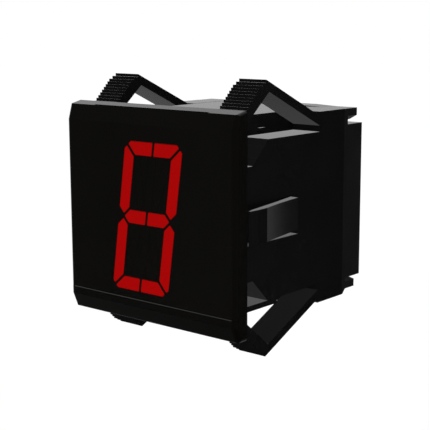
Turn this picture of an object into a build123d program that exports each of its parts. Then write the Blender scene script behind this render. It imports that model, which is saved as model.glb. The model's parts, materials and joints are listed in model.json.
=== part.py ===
from build123d import *
import os
from math import radians, sqrt, tan

# Sixteen-segment LED display for panel mounting, one character, with snap brackets.
# Frame: the origin is on the case's middle line, level with the bezel's rear face, which seats on the panel.
# +X is right as seen from the front, +Y runs back through the panel, +Z is up. Millimetres.

# Bezel and window
bezel_w = 60.0  # overall width
bezel_up = 28.95  # top edge over the origin
bezel_down = 29.1  # bottom edge under the origin
bezel_t = 4.6  # panel seat to the window's face
bezel_side_r = 1.4  # rounding of the upright front edges
bezel_corner_r = 1.0  # rounding of the corners, seen from the front
brow_h = 4.95  # height over which the face slopes back at the top
edge_setback = 1.25  # fall of the face at its top edge
rim_rise = 0.75  # rise of the rim behind that edge
chin_h = 6.1  # height of the plain band under the window
chin_lip = 0.1  # how far the chin stands proud of the window
chin_flat = 2.1  # its upright part, above its slope
chin_setback = 1.5  # fall of the chin at its bottom edge, behind the window's face
chin_edge_r = 0.35  # rounding of the chin's bottom edge
window_t = 1.8  # window thickness
window_gap = 0.05  # gap between window and chin
spigot_len = 3.0  # how far the bezel's collar reaches into the case
spigot_t = 1.2  # wall of that collar
spigot_clear = 0.05  # collar to case

# Character
digit_w = 20.35  # over the upright bars
digit_h = 40.3  # over the level bars
digit_x = -0.13  # middle of the character
digit_z = -0.55
slant_deg = 8.15  # lean to the right
bar_t = 3.6  # width of the ten outer and middle bars
inner_bar_t = 2.6  # width of the short upright centre bars
bar_gap = 0.65  # dark line between neighbouring bars
corner_cut = 1.95  # cut at the character's outer corners
tip_rise = 0.62  # middle line to the points of the upright bars
diagonal_h = 4.2  # height of a diagonal bar's end
diagonal_w = 1.6  # width of a diagonal bar's end
segment_clear = 0.04  # diffuser to its opening
segment_depth = 8.1  # length of a diffuser, front to back

# Case
case_w = 35.8  # outer width
case_h = 52.4  # outer height
case_len = 47.2  # panel seat to the rear cover
case_wall = 1.8
lug_out = 0.9  # retaining lug on each side wall
lug_l = 2.0
lug_h = 0.8
lug_y = 20.4
lug_z = 22.2
groove_depth = 1.0  # board guides on the inner side walls
groove_rib = 1.2
boss_r = 2.6  # screw bosses in the case
boss_len = 14.0
boss_side = 2.1  # boss centre to the side wall
boss_level = 7.4  # boss centre to the top and bottom walls
screw_r = 1.2
screw_clear = 0.05  # screws and pins in their holes
screw_pass = 0.15  # screws through the cover and housing
screw_head_r = 2.1
screw_head_h = 1.6
screw_head_clear = 0.2
screw_slot_w = 0.64
screw_len = 17.0  # under the head
screw_grip = 10.5  # screw's length in the case

# Reflector and boards
block_clear = 0.1  # reflector in the bezel's opening
board_clear = 0.15  # boards and reflector flange in the case
reflector_back = 6.6  # rear face of the reflector, where the LED board lies
board_t = 1.6
board_screw_r = 0.9
board_screw_in = 2.6  # screw centre in from the board's edges
board_screw_len = 4.4
board_screw_head_r = 1.7
board_screw_head_h = 1.1
led_l = 3.0
led_w = 1.5
led_h = 1.1
led_lens_in = 0.2  # lens in from the body's edges
main_board_gap = 0.1  # LED board to main board
main_board_len = 37.0
header_pins = 8
header_spacing = 2.54
header_pin = 0.6
header_h = 2.5
header_l = 2.5
header_hole_r = 0.5
header_foot = 1.5  # the pins' feet on the main board

# Chips and parts on the main board
chip_l = 10.3
chip_w = 7.5
chip_h = 2.3
chip_legs = 8
chip_leg_spacing = 1.27
chip_leg = 0.45
chip_foot = 1.3
chip_lift = 0.2  # gap under a chip's body
chip_edge = 0.35  # sloping top edges
driver_side = 7.35  # driver chips to the board's side edges
driver_y = 21.5
decoder_y = 33.0
capacitor_r = 3.15
capacitor_h = 7.6
capacitor_edge = 0.5
capacitor_side = 4.15  # capacitor to the board's side edge
capacitor_y = 34.0
network_l = 20.0
network_t = 2.2
network_h = 5.0
network_edge = 0.5
network_y = 14.9

# Rear cover and terminal housing
cover_t = 1.65
cover_bottom = -26.75
cover_edge = 0.3  # depth of the plate's bottom edge, before it slopes up to the lower rail
rail_t = 2.1
rail_len = 4.45  # rails behind the cover's plate
rail_top = 26.2
web_h = 1.1  # webs between the rails and the plate
web_len = 2.55  # length of a web at its foot
crown_rise = 0.3  # rise of the upper rail's middle part
crown_w = 26.0
crown_foot_w = 40.0
housing_l = 7.15
housing_top = 21.8
housing_bottom = -22.2
socket_w = 26.0
socket_depth = 5.5
socket_below = 3.3  # socket floor line below the pins
socket_above = 5.3
key_w = 4.0
key_h = 1.2
connector_w = 24.4
connector_h = 5.6
connector_clear = 0.1
connector_grip = 2.6  # how far the connector takes the board's edge
terminal_count = 5
terminal_spacing = 4.6
terminal_pin = 1.0
terminal_pin_len = 15.0
terminal_tip = 4.2  # pins above the socket's floor
terminal_edge = 0.25  # sloping edges at the pins' tips

# Snap brackets
bracket_w = 53.7  # over both brackets
bracket_gap = 0.1  # bracket to case, and bracket to rear cover
bracket_z = -0.33  # the brackets' middle height
bracket_wall = 1.6
plate_half_h = 21.15
plate_step_y = 6.07  # where the plate's front corners start to slope
plate_nose_half_h = 14.85
seat_gap = 0.4  # side plate to the panel seat's plane
arm_gap = 0.9  # snap arms to the panel seat's plane
band_front_y = 35.15
band_top = 26.57
band_bottom = -26.45
foot_strip_t = 1.5  # strip under the plate
foot_strip_end = 16.5
apex_y = 11.5  # peaks of the snap arms
apex_half_h = 36.2
apex_t = 3.1  # upright, from a peak to the arm's inner corner
apex_back = 1.14  # inner corner behind the peak
arm_fillet = 0.7
rear_leg_half_h = 25.4  # rear leg where it meets the band
rear_leg_t = 2.6
arm_root = 2.9  # how far the arm runs into the band
front_leg_half_h = 26.8  # front leg's end behind the panel
front_leg_t = 3.5
ratchet_steps = 13  # stair down the front leg
ratchet_top_steps = 2
ratchet_top_run = 1.29  # the top steps are longer
ratchet_dip = 0.047  # fall of a tread toward its back, over its length
tongue_half_h = 4.4
tongue_slot = 1.0  # slot above and below the side tongue
tongue_root_y = 25.46
recess_depth = 2.67
tongue_root_t = 2.4
tongue_bow = 0.3  # how far the ramp dips under its chord
tongue_ramp_y = 7.8  # crest of the side tongue
tongue_reach = 3.3  # crest beyond the bracket's face
tongue_head = 0.2  # further reach at the head
tongue_head_y = 3.7
tongue_nose_y = 0.9
tongue_nose_t = 0.6
tongue_mid_t = 1.5
rail_rib_w = 3.0  # slide rails between case and bracket
rail_rib_out = 2.4
rail_rib_z = 12.5
rail_rib_y = 5.0
rail_rib_len = 26.0

# Places worked out from the sizes above
bezel_h = bezel_up + bezel_down
front_y = -bezel_t
rim_y = front_y + edge_setback
rim_z = bezel_up - rim_rise
brow_z = bezel_up - brow_h
chin_y = front_y - chin_lip
chin_edge_y = front_y + chin_setback
seam_z = chin_h - bezel_down
chin_bend_z = seam_z - chin_flat
window_back_y = front_y + window_t
half_bar = bar_t / 2
mitre = bar_gap / sqrt(2)
case_in_w = case_w - 2 * case_wall
case_in_h = case_h - 2 * case_wall
spigot_w = case_in_w - 2 * spigot_clear
spigot_h = case_in_h - 2 * spigot_clear
opening_w = spigot_w - 2 * spigot_t
opening_h = spigot_h - 2 * spigot_t
block_w = opening_w - 2 * block_clear
block_h = opening_h - 2 * block_clear
board_w = case_in_w - 2 * board_clear
board_h = case_in_h - 2 * board_clear
led_board_back = reflector_back + board_t
main_board_y = led_board_back + main_board_gap
main_board_end = main_board_y + main_board_len
board_top_z = board_t / 2
header_pin_z = board_top_z + header_h / 2
board_screw_x = board_w / 2 - board_screw_in
board_screw_z = board_h / 2 - board_screw_in
header_bend_y = main_board_y + header_l + header_pin
driver_x = board_w / 2 - driver_side
capacitor_x = capacitor_side - board_w / 2
boss_x = case_in_w / 2 - boss_side
boss_z = case_in_h / 2 - boss_level
screw_seat_y = case_len - screw_grip + screw_len
terminal_z = board_top_z + terminal_pin / 2
cover_back = case_len + cover_t
rail_end = cover_back + rail_len
rail_bottom = housing_bottom - web_h - rail_t
housing_back = cover_back + housing_l
socket_floor = housing_back - socket_depth
bracket_in_x = case_w / 2 + bracket_gap
bracket_out_x = bracket_w / 2
bracket_back = case_len - bracket_gap
recess_x = bracket_out_x - recess_depth
recess_half_h = tongue_half_h + tongue_slot
arm_inner_y = apex_y + apex_back
arm_inner_half_h = apex_half_h - apex_t
ratchet_rise = (apex_half_h - front_leg_half_h) / ratchet_steps
ratchet_run = (apex_y - arm_gap - ratchet_top_steps * ratchet_top_run) / (ratchet_steps - ratchet_top_steps)


def block(x, y, z):
    """A block from three (low, high) pairs."""
    size = [pair[1] - pair[0] for pair in (x, y, z)]
    middle = [(pair[1] + pair[0]) / 2 for pair in (x, y, z)]
    return Pos(*middle) * Box(*size)


def centred(half):
    return (-half, half)


def rod(radius, x, y, z):
    """A rod along Y, with its ends given by the pair y."""
    return Pos(x, sum(y) / 2, z) * Rot(-90, 0, 0) * Cylinder(radius, y[1] - y[0])


def face_of(*edges):
    return make_face(Curve() + list(edges))


def polygon(points):
    return make_face(Polyline(*points, close=True))


def grown(face, amount):
    """A face with every side moved out, or in for a negative amount, with sharp corners kept."""
    return offset(face, amount=amount, kind=Kind.INTERSECTION)


def across(face, half_width):
    """A YZ outline carried along X to both sides of the middle."""
    return extrude(Plane.YZ * face, amount=half_width, both=True)


def along(face, y0, y1):
    """An XZ outline carried along Y."""
    return Pos(0, y0, 0) * extrude(Plane.XZ * face, amount=y0 - y1)


# ---- bezel and window ----


def carried(face, direction):
    """A face carried both ways along a direction, further than the bezel reaches."""
    return extrude(face, amount=bezel_h, dir=direction, both=True)


def plan(face_y, radius):
    """The bezel's plan from a front face back, with rounded corners and room to spare behind."""
    return Pos(0, face_y + bezel_h / 2) * RectangleRounded(bezel_w, bezel_h, radius)


def front_view():
    """The bezel's width and height at its rear face, with rounded corners."""
    return Pos(0, 0, bezel_up - bezel_h / 2) * (Plane.XZ * RectangleRounded(bezel_w, bezel_h, bezel_corner_r))


def bezel_form(outline, corners, bend_z, bevel):
    """A side view carried over the width, its corners rounded up the face and along the bevel from bend_z."""
    form = across(outline, bezel_w / 2)
    return form & carried(corners, (0, 0, 1)) & (Pos(0, 0, bend_z) * carried(corners, bevel))


def chin():
    """The plain band under the window: upright at the seam, then sloping back to its rounded bottom edge."""
    outline = polygon([
        (0, -bezel_down),
        (chin_edge_y, -bezel_down),
        (chin_y, chin_bend_z),
        (chin_y, seam_z),
        (0, seam_z),
    ])
    edge = outline.vertices().sort_by_distance((chin_edge_y, -bezel_down))[0]
    bevel = (0, chin_edge_y - chin_y, -bezel_down - chin_bend_z)
    form = bezel_form(fillet(edge, chin_edge_r), plan(chin_y, bezel_side_r + chin_lip), chin_bend_z, bevel)
    return form & carried(front_view(), (0, 1, 0))


def upper_form():
    """Everything above the chin: a flat face, a brow sloping back and the rim that rises behind it."""
    outline = polygon([
        (0, seam_z),
        (front_y, seam_z),
        (front_y, brow_z),
        (rim_y, rim_z),
        (0, bezel_up),
    ])
    bevel = (0, rim_y - front_y, rim_z - brow_z)
    form = bezel_form(outline, plan(front_y, bezel_side_r), brow_z, bevel)
    return form & carried(front_view(), (0, -rim_y, rim_rise))


def window_zone(low_z):
    """The space in front of the bezel's frame, from low_z up."""
    return block(centred(bezel_w), (-bezel_h, window_back_y), (low_z, bezel_h))


def front_bezel():
    spigot = block(centred(spigot_w / 2), (-window_t / 2, spigot_len), centred(spigot_h / 2))
    opening = block(centred(opening_w / 2), (window_back_y, spigot_len), centred(opening_h / 2))
    return chin() + (upper_form() - window_zone(seam_z)) + spigot - opening


def display_window():
    window = upper_form() & window_zone(seam_z + window_gap)
    for name in SEGMENTS:
        window -= segment_prism(name, segment_clear, front_y - 1, window_back_y + 1)
    return window


# ---- the character's sixteen segments ----


def lean(u, v):
    """A point of the upright character, leaned and set in place on the XZ plane."""
    return (digit_x + u + v * tan(radians(slant_deg)), digit_z + v)


def level_bar():
    """Right half of the top bar, mitred at the corner."""
    u, v = digit_w / 2, digit_h / 2
    return [
        (bar_gap / 2, v),
        (u - corner_cut, v),
        (u - (corner_cut + mitre) / 2, v - (corner_cut - mitre) / 2),
        (u - bar_t - mitre, v - bar_t),
        (bar_gap / 2, v - bar_t),
    ]


def upright_bar():
    """Upper right bar, mitred above and pointed below."""
    u, v = digit_w / 2, digit_h / 2
    return [
        (u - bar_t, v - bar_t - mitre),
        (u - (corner_cut - mitre) / 2, v - (corner_cut + mitre) / 2),
        (u, v - corner_cut),
        (u, tip_rise + half_bar),
        (u - half_bar, tip_rise),
        (u - bar_t, tip_rise + half_bar),
    ]


def middle_bar():
    """Right half of the middle bar, pointed at its outer end."""
    tip = digit_w / 2 - half_bar + tip_rise - 2 * mitre
    return [
        (bar_gap / 2, -half_bar),
        (bar_gap / 2, half_bar),
        (tip - half_bar, half_bar),
        (tip, 0),
        (tip - half_bar, -half_bar),
    ]


def window_of_bars():
    """The clear field inside the upper right bars: low and high (u, v)."""
    low = (inner_bar_t / 2 + bar_gap, half_bar + bar_gap)
    high = (digit_w / 2 - bar_t - bar_gap, digit_h / 2 - bar_t - bar_gap)
    return low, high


def centre_bar():
    low, high = window_of_bars()
    half = inner_bar_t / 2
    return [(-half, low[1]), (half, low[1]), (half, high[1]), (-half, high[1])]


def diagonal_bar():
    (u0, v0), (u1, v1) = window_of_bars()
    return [
        (u0, v0),
        (u0 + diagonal_w, v0),
        (u1, v1 - diagonal_h),
        (u1, v1),
        (u1 - diagonal_w, v1),
        (u0, v0 + diagonal_h),
    ]


# Each segment is one of the five bars above, mirrored left or right and up or down.
SEGMENTS = {
    "a1": (level_bar, -1, 1),
    "a2": (level_bar, 1, 1),
    "b": (upright_bar, 1, 1),
    "c": (upright_bar, 1, -1),
    "d1": (level_bar, -1, -1),
    "d2": (level_bar, 1, -1),
    "e": (upright_bar, -1, -1),
    "f": (upright_bar, -1, 1),
    "g1": (middle_bar, -1, 1),
    "g2": (middle_bar, 1, 1),
    "h": (diagonal_bar, -1, 1),
    "i": (centre_bar, 1, 1),
    "j": (diagonal_bar, 1, 1),
    "k": (diagonal_bar, -1, -1),
    "l": (centre_bar, 1, -1),
    "m": (diagonal_bar, 1, -1),
}


def segment_points(name):
    bar, side, level = SEGMENTS[name]
    return [lean(side * u, level * v) for u, v in bar()]


def segment_prism(name, clear, y0, y1):
    """A segment's outline on the XZ plane, carried from y0 to y1."""
    outline = polygon(segment_points(name))
    if clear:
        outline = grown(outline, clear)
    return along(outline, y0, y1)


def diffuser(name):
    return segment_prism(name, 0, front_y, front_y + segment_depth)


def segment_middle(name):
    points = segment_points(name)
    return [sum(p[i] for p in points) / len(points) for i in (0, 1)]


def led(name):
    """A chip LED lying on the board's front, centred behind its segment."""
    x, z = segment_middle(name)
    lies_level = SEGMENTS[name][0] in (level_bar, middle_bar)
    half_x, half_z = (led_l / 2, led_w / 2) if lies_level else (led_w / 2, led_l / 2)
    lens_x, lens_z = half_x - led_lens_in, half_z - led_lens_in
    shelf_y = reflector_back - led_h / 2
    base = block((x - half_x, x + half_x), (shelf_y, reflector_back), (z - half_z, z + half_z))
    lens = block((x - lens_x, x + lens_x), (shelf_y - led_h / 2, shelf_y), (z - lens_z, z + lens_z))
    return base + lens


def segment_reflector():
    """Opaque block with a light well for each segment, and a flange that takes the LED board."""
    body = block(centred(block_w / 2), (window_back_y, reflector_back), centred(block_h / 2))
    body += block(centred(board_w / 2), (spigot_len, reflector_back), centred(board_h / 2))
    for name in SEGMENTS:
        body -= segment_prism(name, segment_clear, window_back_y - 1, reflector_back + 1)
    for x, z in board_screw_places():
        body -= rod(board_screw_r + screw_clear, x, (led_board_back - board_screw_len, reflector_back + 1), z)
    return body


# ---- boards ----


def board_screw_places():
    """Two screws, in opposite corners of the LED board."""
    return [(side * board_screw_x, -side * board_screw_z) for side in (-1, 1)]


def header_places():
    return [(i - (header_pins - 1) / 2) * header_spacing for i in range(header_pins)]


def led_board():
    board = block(centred(board_w / 2), (reflector_back, led_board_back), centred(board_h / 2))
    for x, z in board_screw_places():
        board -= rod(board_screw_r + screw_clear, x, (reflector_back - 1, led_board_back + 1), z)
    for x in header_places():
        board -= rod(header_hole_r, x, (reflector_back - 1, led_board_back + 1), header_pin_z)
    return board


def board_screws():
    screws = []
    for x, z in board_screw_places():
        shank = rod(board_screw_r, x, (led_board_back - board_screw_len, led_board_back), z)
        head = rod(board_screw_head_r, x, (led_board_back, led_board_back + board_screw_head_h), z)
        screws.append(shank + head)
    return Compound(children=screws)


def main_board():
    """Level board on the case's middle line, held in the side grooves."""
    return block(centred(board_w / 2), (main_board_y, main_board_end), centred(board_t / 2))


def board_header():
    """Insulator of the right-angle header that joins the two boards."""
    half_w = header_pins * header_spacing / 2
    span = (main_board_y, main_board_y + header_l)
    body = block(centred(half_w), span, (board_top_z, board_top_z + header_h))
    hole = header_pin / 2 + screw_clear
    for x in header_places():
        body -= block((x - hole, x + hole), span, (header_pin_z - hole, header_pin_z + hole))
    return body


def header_contacts():
    """Bent pins: through the LED board, level through the header, then down to feet on the main board."""
    half = header_pin / 2
    foot_end = header_bend_y + half + header_foot
    pins = []
    for x in header_places():
        width = (x - half, x + half)
        level = block(width, (reflector_back + screw_clear, header_bend_y + half),
                      (header_pin_z - half, header_pin_z + half))
        drop = block(width, (header_bend_y - half, header_bend_y + half), (board_top_z, header_pin_z + half))
        foot = block(width, (header_bend_y - half, foot_end), (board_top_z, board_top_z + header_pin))
        pins.append(level + drop + foot)
    return Compound(children=pins)


def chip(x, y):
    """Surface-mount chip with gull-wing legs, standing on the main board."""
    half_leg = chip_leg / 2
    body = block((x - chip_w / 2, x + chip_w / 2), (y - chip_l / 2, y + chip_l / 2),
                 (board_top_z + chip_lift, board_top_z + chip_h))
    body = chamfer(body.edges().group_by(Axis.Z)[-1], chip_edge)
    leg_z = board_top_z + chip_h / 2
    for i in range(chip_legs):
        leg_y = y + (i - (chip_legs - 1) / 2) * chip_leg_spacing
        span = (leg_y - half_leg, leg_y + half_leg)
        for side in (-1, 1):
            root = x + side * chip_w / 2
            ankle = root + side * chip_foot / 2
            shin = ankle - side * half_leg
            toe = root + side * chip_foot
            body += block(sorted((root, ankle)), span, (leg_z - half_leg, leg_z))
            body += block(sorted((shin, ankle)), span, (board_top_z, leg_z))
            body += block(sorted((shin, toe)), span, (board_top_z, board_top_z + half_leg))
    return body


def capacitor():
    can = Pos(capacitor_x, capacitor_y, board_top_z + capacitor_h / 2) * Cylinder(capacitor_r, capacitor_h)
    return chamfer(can.edges().group_by(Axis.Z)[-1], capacitor_edge)


def resistor_network():
    body = block(centred(network_l / 2), (network_y - network_t / 2, network_y + network_t / 2),
                 (board_top_z, board_top_z + network_h))
    return chamfer(body.edges().group_by(Axis.Z)[-1], network_edge)


# ---- case ----


def boss_places():
    return [(sx * boss_x, sz * boss_z) for sx in (-1, 1) for sz in (-1, 1)]


def case_features():
    """Board grooves, screw bosses, slide rails and lugs of the case."""
    wall_x = case_in_w / 2
    face_x = case_w / 2
    half_gap = board_t / 2 + board_clear
    groove_y = (led_board_back + 1, case_len - 1)
    rail_y = (rail_rib_y, rail_rib_y + rail_rib_len)
    for side in (-1, 1):
        groove_x = sorted((side * wall_x, side * (wall_x - groove_depth)))
        rail_x = sorted((side * face_x, side * (face_x + rail_rib_out)))
        lug_x = sorted((side * face_x, side * (face_x + lug_out)))
        for level in (-1, 1):
            groove_z = sorted((level * half_gap, level * (half_gap + groove_rib)))
            rail_z = sorted((level * rail_rib_z, level * (rail_rib_z - rail_rib_w)))
            yield block(groove_x, groove_y, groove_z)
            yield Pos(0, 0, bracket_z) * block(rail_x, rail_y, rail_z)
        yield block(lug_x, (lug_y - lug_l / 2, lug_y + lug_l / 2), (lug_z - lug_h / 2, lug_z + lug_h / 2))
    boss_y = (case_len - boss_len, case_len)
    for x, z in boss_places():
        web_x = sorted((x, wall_x if x > 0 else -wall_x))
        yield rod(boss_r, x, boss_y, z) + block(web_x, boss_y, (z - boss_r, z + boss_r))


def main_case():
    body = block(centred(case_w / 2), (0, case_len), centred(case_h / 2))
    body -= block(centred(case_in_w / 2), (-1, case_len + 1), centred(case_in_h / 2))
    for feature in case_features():
        body += feature
    for x, z in boss_places():
        body -= rod(screw_r + screw_clear, x, (case_len - boss_len - 1, case_len + 1), z)
    return body


# ---- rear cover, terminal housing and connector ----


def rail_web(z, turn):
    """Web from a rail's inner face, down for turn -1 and up for 1, with sloping sides and a sloping end."""
    foot_z = z + turn * web_h
    foot_x = bracket_out_x - web_h
    side = polygon([(cover_back, z), (rail_end, z), (cover_back + web_len, foot_z), (cover_back, foot_z)])
    back = polygon([(-bracket_out_x, z), (bracket_out_x, z), (foot_x, foot_z), (-foot_x, foot_z)])
    return across(side, bracket_out_x) & along(back, cover_back, rail_end)


def rear_cover():
    """Plate over the case's open end, with a rail along its top and bottom."""
    outline = polygon([
        (case_len, cover_bottom),
        (case_len + cover_edge, cover_bottom),
        (cover_back, rail_bottom),
        (rail_end, rail_bottom),
        (rail_end, rail_bottom + rail_t),
        (cover_back, rail_bottom + rail_t),
        (cover_back, rail_top - rail_t),
        (rail_end, rail_top - rail_t),
        (rail_end, rail_top),
        (case_len, rail_top),
    ])
    crown = polygon([
        (-crown_foot_w / 2, rail_top),
        (-crown_w / 2, rail_top + crown_rise),
        (crown_w / 2, rail_top + crown_rise),
        (crown_foot_w / 2, rail_top),
    ])
    cover = across(outline, bracket_out_x) + along(crown, case_len, rail_end)
    cover += rail_web(rail_bottom + rail_t, 1)
    cover += rail_web(rail_top - rail_t, -1)
    cover -= connector_block(connector_clear)
    for x, z in boss_places():
        cover -= rod(screw_r + screw_pass, x, (case_len - 1, cover_back + 1), z)
    return cover


def connector_block(clear):
    """The rear connector's block, from the main board's edge to the socket's floor."""
    return block(centred(connector_w / 2 + clear), (main_board_end - connector_grip, socket_floor + clear),
                 (terminal_z - connector_h / 2 - clear, terminal_z + connector_h / 2 + clear))


def terminal_places():
    return [(i - (terminal_count - 1) / 2) * terminal_spacing for i in range(terminal_count)]


def terminal_housing():
    """Rear housing with the plug socket, held by the four case screws."""
    body = block(centred(bracket_out_x), (cover_back, housing_back), (housing_bottom, housing_top))
    body -= block(centred(socket_w / 2), (socket_floor, housing_back + 1),
                  (terminal_z - socket_below, terminal_z + socket_above))
    body -= block(centred(key_w / 2), (socket_floor, housing_back + 1),
                  (terminal_z + socket_above - 1, terminal_z + socket_above + key_h))
    body -= connector_block(connector_clear)
    for x, z in boss_places():
        body -= rod(screw_r + screw_pass, x, (cover_back - 1, housing_back + 1), z)
        body -= rod(screw_head_r + screw_head_clear, x, (screw_seat_y, housing_back + 1), z)
    return body


def rear_connector():
    """Insulator that grips the main board's rear edge and carries the terminal pins."""
    body = connector_block(0)
    body -= block(centred(case_in_w / 2), (main_board_y, main_board_end + connector_clear),
                  centred(board_t / 2 + connector_clear / 2))
    hole = terminal_pin / 2 + screw_clear
    for x in terminal_places():
        body -= block((x - hole, x + hole), (case_len - boss_len, housing_back),
                      (terminal_z - hole, terminal_z + hole))
    return body


def terminal_pins():
    half = terminal_pin / 2
    tip = socket_floor + terminal_tip
    pins = []
    for x in terminal_places():
        pin = block((x - half, x + half), (tip - terminal_pin_len, tip),
                    (terminal_z - half, terminal_z + half))
        pins.append(chamfer(pin.edges().group_by(Axis.Y)[-1], terminal_edge))
    return Compound(children=pins)


def case_screws():
    top_y = screw_seat_y + screw_head_h
    screws = []
    for x, z in boss_places():
        shank = rod(screw_r, x, (screw_seat_y - screw_len, screw_seat_y), z)
        head = rod(screw_head_r, x, (screw_seat_y, top_y), z)
        slot = block((x - screw_head_r, x + screw_head_r), (top_y - screw_head_h / 2, top_y),
                     (z - screw_slot_w / 2, z + screw_slot_w / 2))
        screws.append(shank + head - slot)
    return Compound(children=screws)


# ---- snap brackets ----


def plate_outline():
    """Side plate, seen from the side: sloping front corners and a narrower nose."""
    slope_y = plate_step_y + plate_half_h - plate_nose_half_h
    upper = [(seat_gap, plate_nose_half_h), (plate_step_y, plate_nose_half_h), (slope_y, plate_half_h),
             (band_front_y, plate_half_h)]
    lower = [(y, -z) for y, z in reversed(upper)]
    return polygon(upper + lower)


def band_outline():
    place = Pos((band_front_y + bracket_back) / 2, (band_top + band_bottom) / 2)
    return place * Rectangle(bracket_back - band_front_y, band_top - band_bottom)


def ratchet_points():
    """Stair on the front leg, from the apex down to the leg's end."""
    y, z = apex_y, apex_half_h
    points = [(y, z)]
    for step in range(ratchet_steps):
        run = ratchet_top_run if step < ratchet_top_steps else ratchet_run
        z -= ratchet_rise
        points.append((y, z - run * ratchet_dip))
        y -= run
        points.append((y, z))
    return points


def arm_outline():
    """Upper snap arm: a rear leg from the band to the apex and a stepped front leg."""
    arm = polygon([
        *ratchet_points(),
        (arm_gap, front_leg_half_h - front_leg_t),
        (arm_inner_y, arm_inner_half_h),
        (band_front_y, rear_leg_half_h - rear_leg_t),
        (band_front_y + arm_root, rear_leg_half_h - rear_leg_t),
        (band_front_y + arm_root, rear_leg_half_h),
        (band_front_y, rear_leg_half_h),
    ])
    inner = arm.vertices().sort_by_distance((arm_inner_y, arm_inner_half_h))[0]
    return fillet(inner, arm_fillet)


def right_side(face, x0, x1):
    """A YZ outline at the brackets' height, carried from x0 to x1."""
    return Pos(x0, 0, bracket_z) * extrude(Plane.YZ * face, amount=x1 - x0)


def tongue():
    """Side spring tongue: rooted at the back of its recess, it ramps out to a crest."""
    face_x = bracket_out_x
    root_x = face_x - tongue_root_t
    root_back_y = tongue_root_y + bracket_wall
    crest = (face_x + tongue_reach, tongue_ramp_y)
    ramp = (face_x + tongue_reach / 2 - tongue_bow, (tongue_root_y + tongue_ramp_y) / 2)
    head = (crest[0] + tongue_head, tongue_head_y)
    nose = (crest[0] + tongue_head / 2, tongue_nose_y)
    inner_side = Polyline(
        crest,
        head,
        nose,
        (nose[0] - tongue_nose_t, tongue_nose_y),
        (head[0] - tongue_mid_t, tongue_head_y),
        (ramp[0] - tongue_mid_t - tongue_bow, ramp[1]),
        (root_x, tongue_root_y),
        (root_x, root_back_y),
        (face_x, root_back_y),
        (face_x, tongue_root_y),
    )
    outline = face_of(ThreePointArc((face_x, tongue_root_y), ramp, crest), *inner_side.edges())
    return Pos(0, 0, bracket_z) * extrude(outline, amount=tongue_half_h, both=True)


def bracket_pockets():
    """Hollows open to the case, with walls left round the tongue's recess."""
    floor_x = bracket_out_x - bracket_wall
    start_x = bracket_in_x - bracket_wall
    recess_box = block((recess_x - bracket_wall, bracket_out_x),
                       (-bracket_wall, tongue_root_y + bracket_wall), centred(recess_half_h + bracket_wall))
    plate_pocket = right_side(grown(plate_outline(), -bracket_wall), start_x, floor_x)
    plate_pocket -= Pos(0, 0, bracket_z) * recess_box
    return plate_pocket + right_side(grown(band_outline(), -bracket_wall), start_x, floor_x)


def right_bracket():
    body = right_side(plate_outline(), bracket_in_x, bracket_out_x)
    body += right_side(band_outline(), bracket_in_x, bracket_out_x)
    arm = right_side(arm_outline(), bracket_in_x, bracket_out_x)
    body += arm + arm.mirror(Plane.XY.offset(bracket_z))
    foot_z = -plate_half_h
    foot = block((bracket_in_x, bracket_out_x), (seat_gap, foot_strip_end), (foot_z - foot_strip_t, foot_z))
    recess = block((recess_x, bracket_out_x + 1), (-1, tongue_root_y), centred(recess_half_h))
    body += Pos(0, 0, bracket_z) * foot
    body -= bracket_pockets()
    body -= Pos(0, 0, bracket_z) * recess
    return body + tongue()


def left_bracket():
    return right_bracket().mirror(Plane.YZ)


def nodes():
    """Every sub-part of the display, by name."""
    yield "front_bezel", front_bezel()
    yield "display_window", display_window()
    yield "main_case", main_case()
    yield "rear_cover", rear_cover()
    yield "terminal_housing", terminal_housing()
    yield "right_bracket", right_bracket()
    yield "left_bracket", left_bracket()
    yield "segment_reflector", segment_reflector()
    for name in SEGMENTS:
        yield f"segment_{name}", diffuser(name)
        yield f"led_{name}", led(name)
    yield "led_board", led_board()
    yield "board_screws", board_screws()
    yield "main_board", main_board()
    yield "board_header", board_header()
    yield "header_contacts", header_contacts()
    yield "driver_chip_left", chip(-driver_x, driver_y)
    yield "driver_chip_right", chip(driver_x, driver_y)
    yield "decoder_chip", chip(0, decoder_y)
    yield "capacitor", capacitor()
    yield "resistor_network", resistor_network()
    yield "rear_connector", rear_connector()
    yield "terminal_pins", terminal_pins()
    yield "case_screws", case_screws()


os.makedirs("parts", exist_ok=True)
for node_name, solid in nodes():
    export_step(solid, f"parts/{node_name}.step")
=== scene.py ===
import json
from math import cos, radians, sin

import bpy
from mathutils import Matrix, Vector


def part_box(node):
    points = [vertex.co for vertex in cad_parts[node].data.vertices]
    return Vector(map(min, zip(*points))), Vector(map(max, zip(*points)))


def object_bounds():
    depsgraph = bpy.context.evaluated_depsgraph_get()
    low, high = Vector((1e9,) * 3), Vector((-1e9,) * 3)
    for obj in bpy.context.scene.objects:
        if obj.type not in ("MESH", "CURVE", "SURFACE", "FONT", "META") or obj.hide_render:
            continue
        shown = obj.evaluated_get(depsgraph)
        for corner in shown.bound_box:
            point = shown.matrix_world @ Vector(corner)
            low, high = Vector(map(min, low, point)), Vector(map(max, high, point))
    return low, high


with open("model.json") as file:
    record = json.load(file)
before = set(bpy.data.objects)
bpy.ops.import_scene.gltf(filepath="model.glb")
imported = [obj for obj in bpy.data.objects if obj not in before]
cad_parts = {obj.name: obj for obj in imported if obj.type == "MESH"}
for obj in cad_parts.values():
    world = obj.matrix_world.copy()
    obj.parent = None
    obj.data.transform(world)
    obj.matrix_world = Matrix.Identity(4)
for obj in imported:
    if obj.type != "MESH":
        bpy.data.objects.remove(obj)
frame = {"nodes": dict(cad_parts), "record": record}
cad_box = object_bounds()

MM = 0.001

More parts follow.
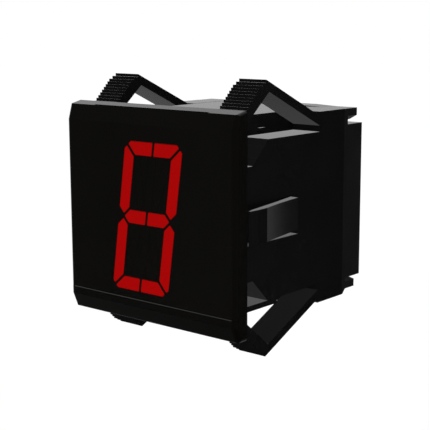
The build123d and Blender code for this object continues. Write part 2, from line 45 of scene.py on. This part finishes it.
# Camera
CAMERA_SPOT = (195.46 * MM, -207.84 * MM, 51.88 * MM)
CAMERA_AZIMUTH = radians(40.256)
CAMERA_ELEVATION = radians(10.358)
CAMERA_ROLL = radians(-0.205)
CAMERA_LENS = 91.58
CAMERA_NEAR = 0.01
SENSOR = 36.0

# Stage
FLOOR_DROP = 0.16
FLOOR_SIZE = 8.0
FLOOR_LIFT = 0.04  # extra whiteness that only the camera and mirrors see
OBJECT_MIDDLE = Vector((0, 0.025, 0))
FLAG_EDGE = 0.35  # soft part of a flag, as a share of its half width

# Black plastics: a weak shine over nearly no colour
PLASTIC_IOR = 1.10
RIM_IOR = 1.25  # for the front's up-facing rim: a stronger shine there, a painted highlight that makes the top lighter
FULL_SHINE = 0.5  # specular level at which the shine is as the IOR gives it
SMOOTH, SATIN, COARSE = 0.12, 0.2, 0.45  # roughness
BEZEL_BLACK = (0.0012, 0.0010, 0.0007)  # this and the window's have a brown tinge
WINDOW_BLACK = (0.0013, 0.0011, 0.0006)
BRACKET_BLACK = (0.0027, 0.0027, 0.0027)
CASE_BLACK = (0.0056, 0.0056, 0.0056)
REFLECTOR_BLACK = (0.006, 0.006, 0.006)

# Grain: noise scales, in cells to a metre, and how deep the grain is
DRIFT = 90
GLOSS_GRAIN = 7000
SATIN_GRAIN = 9000
GRAIN_DEPTH = 0.001 * MM

# Lit bars
LIT_RED = (0.368, 0.0020, 0.0020)
LIT_BORDER = 0.3 * MM  # how far in from a bar's edge its glow is weaker

# Places on the nodes where the finish changes, and where the painted highlight on the rim and the painted
# shade in the gaps end
PAST_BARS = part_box("segment_a1")[1][2] + 0.4 * MM  # this far up or aside there are no bars or gaps
SEAM_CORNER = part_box("front_bezel")[1][0] - 1.6 * MM
STAIRS_FOOT = 16.0 * MM
STAIRS_BACK = 10.5 * MM
SLOT_HEIGHT = -5.7 * MM


# ---- materials ----


class Material:
    """A Principled material with short calls for its procedural detail."""

    def __init__(self, name):
        self.data = bpy.data.materials.new(name)
        self.data.use_nodes = True
        self.nodes = self.data.node_tree.nodes
        self.links = self.data.node_tree.links
        self.shader = self.nodes["Principled BSDF"]
        coordinates = self.nodes.new("ShaderNodeTexCoord").outputs
        self.place, self.normal = coordinates["Object"], coordinates["Normal"]

    def set(self, **values):
        """Constant inputs of the shader, with underscores for the spaces in their names."""
        for key, value in values.items():
            self.shader.inputs[key.replace("_", " ")].default_value = value

    def feed(self, socket, output):
        self.links.new(output, self.shader.inputs[socket])

    def noise(self, scale, detail=3.0, stretch=(1, 1, 1)):
        mapping = self.nodes.new("ShaderNodeMapping")
        mapping.inputs["Scale"].default_value = stretch
        self.links.new(self.place, mapping.inputs["Vector"])
        texture = self.nodes.new("ShaderNodeTexNoise")
        texture.inputs["Scale"].default_value = scale
        texture.inputs["Detail"].default_value = detail
        self.links.new(mapping.outputs["Vector"], texture.inputs["Vector"])
        return texture.outputs["Fac"]

    def ramp(self, factor, low, high, start=0.3, end=0.7):
        """A colour that runs from low to high while the factor goes from start to end."""
        ramp = self.nodes.new("ShaderNodeValToRGB")
        first, last = ramp.color_ramp.elements
        first.position, last.position = start, end
        first.color, last.color = (*low, 1.0), (*high, 1.0)
        self.links.new(factor, ramp.inputs["Fac"])
        return ramp.outputs["Color"]

    def spread(self, factor, low, high, start=0.3, end=0.7):
        """A number that runs from low to high while the factor goes from start to end."""
        span = self.nodes.new("ShaderNodeMapRange")
        span.inputs["From Min"].default_value = start
        span.inputs["From Max"].default_value = end
        span.inputs["To Min"].default_value = low
        span.inputs["To Max"].default_value = high
        self.links.new(factor, span.inputs["Value"])
        return span.outputs["Result"]

    def mask(self, factor, off, on):
        """0 where the factor is at off or beyond it, 1 where it is at on or beyond that."""
        return self.spread(factor, 0.0, 1.0, off, on)

    def blend(self, share, low, high):
        return self.spread(share, low, high, 0.0, 1.0)

    def axis(self, vector, name):
        split = self.nodes.new("ShaderNodeSeparateXYZ")
        self.links.new(vector, split.inputs["Vector"])
        return split.outputs[name]

    def math(self, operation, *values):
        """A sum, product or the like, of outputs and plain numbers."""
        node = self.nodes.new("ShaderNodeMath")
        node.operation = operation
        for socket, value in zip(node.inputs, values):
            if isinstance(value, (int, float)):
                socket.default_value = value
            else:
                self.links.new(value, socket)
        return node.outputs["Value"]

    def product(self, first, *others):
        for other in others:
            first = self.math("MULTIPLY", first, other)
        return first

    def aside(self):
        """The distance from the object's middle plane, to the left or the right."""
        return self.math("ABSOLUTE", self.axis(self.place, "X"))

    def upward(self, off=0.3, on=0.7):
        """1 on faces that look up, 0 on the rest."""
        return self.mask(self.axis(self.normal, "Z"), off, on)

    def openness(self, reach, inside=False):
        """1 on open faces, less in recesses of that reach; from inside, less near outer edges."""
        around = self.nodes.new("ShaderNodeAmbientOcclusion")
        around.only_local = True
        around.inside = inside
        around.samples = 8
        around.inputs["Distance"].default_value = reach
        return around.outputs["AO"]

    def scaled(self, colour, factor):
        scale = self.nodes.new("ShaderNodeVectorMath")
        scale.operation = "SCALE"
        self.links.new(colour, scale.inputs["Vector"])
        self.links.new(factor, scale.inputs["Scale"])
        return scale.outputs["Vector"]

    def bump(self, height, distance):
        bump = self.nodes.new("ShaderNodeBump")
        bump.inputs["Distance"].default_value = distance
        self.links.new(height, bump.inputs["Height"])
        self.links.new(bump.outputs["Normal"], self.shader.inputs["Normal"])


def tint(colour, factor):
    return tuple(c * factor for c in colour)


def grained(m, colour, grain, depth, ior=PLASTIC_IOR):
    """Plastic with a fine spark-eroded grain and a shade that drifts a little over the surface."""
    m.set(IOR=ior)
    m.feed("Base Color", m.ramp(m.noise(DRIFT, detail=4.0), tint(colour, 0.85), tint(colour, 1.15)))
    m.bump(m.noise(grain, detail=2.0), depth)


def uneven(m, roughness, grain):
    """Roughness that varies a little, in patches of a few grains."""
    m.feed("Roughness", m.spread(m.noise(grain * 0.4), roughness * 0.9, roughness * 1.1))


def moulded(name, colour, roughness, grain, depth, ior=PLASTIC_IOR, shine=FULL_SHINE):
    m = Material(name)
    m.set(Specular_IOR_Level=shine)
    grained(m, colour, grain, depth, ior)
    uneven(m, roughness, grain)
    return m.data


def front_shine(m, no_shine):
    """The front's shine: more on its up-facing rim, a painted highlight, and none where the given mask is 1,
    such as the painted shade in the gaps between the bars.
    """
    top = m.mask(m.axis(m.place, "Z"), PAST_BARS, PAST_BARS + 1.0 * MM)
    rim = m.product(m.upward(0.5, 0.8), top)
    m.feed("IOR", m.blend(rim, PLASTIC_IOR, RIM_IOR))
    m.feed("Specular IOR Level", m.blend(no_shine, FULL_SHINE, 0.0))


def painted_gap_shade(m):
    """1 on faces turned from the front in the width that holds the bars, such as the walls of their gaps;
    their shine is taken away there, a painted shade.
    """
    wall = m.mask(m.axis(m.normal, "Y"), -0.6, -0.3)
    middle = m.mask(m.aside(), PAST_BARS + 1.0 * MM, PAST_BARS)
    return m.product(wall, middle)


def bezel_plastic(name):
    """Satin plastic; nothing glints in the seam under the window where it goes round the corners."""
    m = Material(name)
    grained(m, BEZEL_BLACK, SATIN_GRAIN, GRAIN_DEPTH)
    uneven(m, SATIN, SATIN_GRAIN)
    low = m.mask(m.axis(m.place, "Z"), 1.0 * MM, 0.0)
    corner = m.mask(m.aside(), SEAM_CORNER, SEAM_CORNER + 0.3 * MM)
    # The up-facing rim's stronger shine is a painted highlight.
    front_shine(m, m.product(m.upward(), low, corner))
    return m.data


def window_plastic(name):
    """Smoked front plastic with a brown tinge."""
    m = Material(name)
    grained(m, WINDOW_BLACK, GLOSS_GRAIN, GRAIN_DEPTH)
    uneven(m, SMOOTH, GLOSS_GRAIN)
    # Stronger shine on the up-facing rim, a painted highlight, and no shine in the gaps between the bars, a
    # painted shade.
    front_shine(m, painted_gap_shade(m))
    return m.data


def bracket_plastic(name):
    """Satin plastic, matt where the mould is coarser: on the stair treads and in the slots near the bezel."""
    m = Material(name)
    grained(m, BRACKET_BLACK, SATIN_GRAIN, GRAIN_DEPTH / 2)
    height = m.axis(m.place, "Z")
    near = m.mask(m.axis(m.place, "Y"), STAIRS_BACK + 0.5 * MM, STAIRS_BACK)
    treads = m.mask(height, STAIRS_FOOT, STAIRS_FOOT + 0.5 * MM)
    slot = m.mask(m.math("ABSOLUTE", m.math("SUBTRACT", height, SLOT_HEIGHT)), 1.0 * MM, 0.5 * MM)
    coarse = m.product(m.upward(), near, m.math("MAXIMUM", treads, slot))
    m.feed("Roughness", m.blend(coarse, SATIN, COARSE))
    return m.data


def lit_diffuser(name):
    """Red diffuser with its LED lit: an even glow with a faint mottle, weaker at the border."""
    m = Material(name)
    m.set(IOR=1.02, Emission_Strength=1.0)
    mottle = m.noise(1500, detail=2.0)
    border = m.spread(m.openness(LIT_BORDER, inside=True), 0.1, 1.0, 0.58, 0.72)
    glow = m.product(border, m.spread(mottle, 0.94, 1.06))
    m.feed("Emission Color", m.ramp(glow, (0.0, 0.0, 0.0), LIT_RED, 0.0, 1.0))
    m.feed("Base Color", m.ramp(m.noise(300), (0.002, 0.0001, 0.0001), (0.003, 0.0001, 0.0001)))
    m.feed("Roughness", m.spread(mottle, 0.22, 0.3))
    # No shine in the gaps between the bars: a painted shade.
    m.feed("Specular IOR Level", m.blend(painted_gap_shade(m), FULL_SHINE, 0.0))
    return m.data


def board_laminate(name):
    """Green solder mask over faint copper tracks."""
    m = Material(name)
    m.set(IOR=1.5, Coat_Weight=0.3, Coat_Roughness=0.15)
    tracks = m.nodes.new("ShaderNodeTexBrick")
    tracks.inputs["Scale"].default_value = 380
    tracks.inputs["Color1"].default_value = (0.012, 0.15, 0.05, 1)
    tracks.inputs["Color2"].default_value = (0.016, 0.18, 0.06, 1)
    tracks.inputs["Mortar"].default_value = (0.03, 0.25, 0.08, 1)
    m.links.new(m.place, tracks.inputs["Vector"])
    m.feed("Base Color", tracks.outputs["Color"])
    m.feed("Roughness", m.spread(m.noise(900), 0.35, 0.5))
    m.bump(tracks.outputs["Fac"], 0.02 * MM)
    return m.data


def plated(name, low, high, roughness, brush=(1, 1, 1)):
    """Plated metal with faint brushing, darker in its recesses such as a screw's slot: a painted shade."""
    m = Material(name)
    m.set(Metallic=1.0)
    # Painted shade: the colour is darker in recesses.
    recess_shade = m.spread(m.openness(0.6 * MM), 0.15, 1.0, 0.4, 0.95)
    m.feed("Base Color", m.scaled(m.ramp(m.noise(700), low, high), recess_shade))
    m.feed("Roughness", m.spread(m.noise(2600, stretch=brush), roughness * 0.75, roughness * 1.25))
    m.bump(m.noise(3200, detail=2.0, stretch=brush), 0.004 * MM)
    return m.data


MATERIALS = {
    "bezel_plastic": bezel_plastic("bezel_plastic"),
    "window_plastic": window_plastic("window_plastic"),
    "case_plastic": moulded("case_plastic", CASE_BLACK, SATIN, SATIN_GRAIN, GRAIN_DEPTH),
    "bracket_plastic": bracket_plastic("bracket_plastic"),
    "reflector_plastic": moulded("reflector_plastic", REFLECTOR_BLACK, 0.5, 5000, 0.004 * MM, shine=0.0),
    "unlit_segment": window_plastic("unlit_segment"),
    "lit_segment": lit_diffuser("lit_segment"),
    "circuit_board": board_laminate("circuit_board"),
    "led_body": moulded("led_body", (0.7, 0.68, 0.6), 0.3, 5000, 0.003 * MM, ior=1.45),
    "contact_metal": plated("contact_metal", (0.72, 0.52, 0.22), (0.86, 0.66, 0.32), 0.25, brush=(1, 0.1, 1)),
    "screw_steel": plated("screw_steel", (0.42, 0.42, 0.43), (0.58, 0.58, 0.6), 0.32),
    "chip_plastic": moulded("chip_plastic", (0.02, 0.02, 0.022), 0.55, 6000, 0.006 * MM, ior=1.45),
    "capacitor_can": plated("capacitor_can", (0.55, 0.55, 0.57), (0.7, 0.7, 0.72), 0.3, brush=(1, 1, 0.1)),
    "resistor_coat": moulded("resistor_coat", (0.42, 0.3, 0.1), 0.4, 2500, 0.01 * MM, ior=1.5),
    "insulator_plastic": moulded("insulator_plastic", (0.02, 0.02, 0.021), 0.45, 5000, 0.004 * MM, ior=1.45),
}


# ---- pieces ----


def dress_nodes():
    """Every CAD node takes the material of its slot in the record, and shows in no node's reflections."""
    for part in frame["record"]["subparts"]:
        obj = frame["nodes"][part["node"]]
        obj.data.materials.clear()
        obj.data.materials.append(MATERIALS[part["material_slot"]])
        obj.visible_glossy = False


# ---- stage ----


def white_world():
    world = bpy.data.worlds.new("studio")
    world.use_nodes = True
    background = world.node_tree.nodes["Background"]
    background.inputs["Color"].default_value = (1.0, 1.0, 1.0, 1.0)
    background.inputs["Strength"].default_value = 1.0
    world.cycles.sampling_method = "NONE"
    bpy.context.scene.world = world


def square(name, half, height=0.0):
    """A level square sheet over the frame's origin."""
    mesh = bpy.data.meshes.new(name)
    corners = [(x, y, height) for x, y in ((-half, -half), (half, -half), (half, half), (-half, half))]
    mesh.from_pydata(corners, [], [(0, 1, 2, 3)])
    sheet = bpy.data.objects.new(name, mesh)
    bpy.context.scene.collection.objects.link(sheet)
    return sheet


def pale_floor():
    """White floor that keeps the object's shadow, and is fully white to the camera and mirrors elsewhere."""
    floor = square("floor", FLOOR_SIZE / 2, cad_box[0][2] - FLOOR_DROP)
    m = Material("floor")
    m.set(IOR=1.0, Roughness=1.0)
    m.feed("Base Color", m.ramp(m.noise(3), (0.97, 0.97, 0.97), (0.98, 0.98, 0.98)))
    glow = m.nodes.new("ShaderNodeEmission")
    glow.inputs["Strength"].default_value = FLOOR_LIFT
    both = m.nodes.new("ShaderNodeAddShader")
    m.links.new(m.shader.outputs["BSDF"], both.inputs[0])
    m.links.new(glow.outputs["Emission"], both.inputs[1])
    path = m.nodes.new("ShaderNodeLightPath").outputs
    seen = m.math("MAXIMUM", path["Is Camera Ray"], path["Is Glossy Ray"])
    lifted = m.math("MAXIMUM", seen, path["Is Transmission Ray"])
    pick = m.nodes.new("ShaderNodeMixShader")
    m.links.new(lifted, pick.inputs["Fac"])
    m.links.new(m.shader.outputs["BSDF"], pick.inputs[1])
    m.links.new(both.outputs["Shader"], pick.inputs[2])
    m.links.new(pick.outputs["Shader"], m.nodes["Material Output"].inputs["Surface"])
    floor.data.materials.append(m.data)


def flag(name, bearing, tilt, distance, half_width, half_height, level):
    """A soft grey panel that only reflections see, so what the plastics mirror on that side is darker.

    The bearing runs from +Y toward +X and the tilt is upward, both in degrees. The level is what shows of the
    white behind the panel's middle.
    """
    bearing, tilt = radians(bearing), radians(tilt)
    toward = Vector((sin(bearing) * cos(tilt), cos(bearing) * cos(tilt), sin(tilt)))
    panel = square(name, 1)
    panel.rotation_euler = toward.to_track_quat("Z", "Y").to_euler()
    panel.location = OBJECT_MIDDLE + toward * distance
    panel.scale = (half_width, half_height, 1)
    m = Material(name)
    fade = m.nodes.new("ShaderNodeTexGradient")
    fade.gradient_type = "SPHERICAL"
    m.links.new(m.place, fade.inputs["Vector"])
    veil = m.nodes.new("ShaderNodeBsdfTransparent")
    shade = m.ramp(fade.outputs["Fac"], (1, 1, 1), (level, level, level), 0.0, FLAG_EDGE)
    m.links.new(shade, veil.inputs["Color"])
    m.links.new(veil.outputs["BSDF"], m.nodes["Material Output"].inputs["Surface"])
    m.nodes.remove(m.shader)
    panel.data.materials.append(m.data)
    panel.visible_camera = False
    panel.visible_diffuse = False
    panel.visible_transmission = False
    panel.visible_shadow = False


def camera():
    data = bpy.data.cameras.new("camera")
    data.lens = CAMERA_LENS
    data.sensor_width = SENSOR
    data.clip_start = CAMERA_NEAR
    obj = bpy.data.objects.new("camera", data)
    bpy.context.scene.collection.objects.link(obj)
    level = cos(CAMERA_ELEVATION)
    forward = Vector((-sin(CAMERA_AZIMUTH) * level, cos(CAMERA_AZIMUTH) * level, -sin(CAMERA_ELEVATION)))
    obj.matrix_world = forward.to_track_quat("-Z", "Y").to_matrix().to_4x4()
    obj.location = CAMERA_SPOT
    obj.rotation_euler.rotate_axis("Z", CAMERA_ROLL)
    bpy.context.scene.camera = obj


bpy.context.scene.view_settings.view_transform = "Standard"
dress_nodes()
white_world()
pale_floor()
flag("rear_right_flag", 45, -8, distance=0.45, half_width=0.24, half_height=0.4, level=0.42)
flag("rear_strip_flag", 28.5, -8, distance=0.42, half_width=0.1, half_height=0.5, level=0.15)
flag("front_left_flag", -118, -8, distance=0.45, half_width=0.22, half_height=0.4, level=0.65)
flag("under_flag", 0, -90, distance=0.13, half_width=0.4, half_height=0.4, level=0.45)
camera()
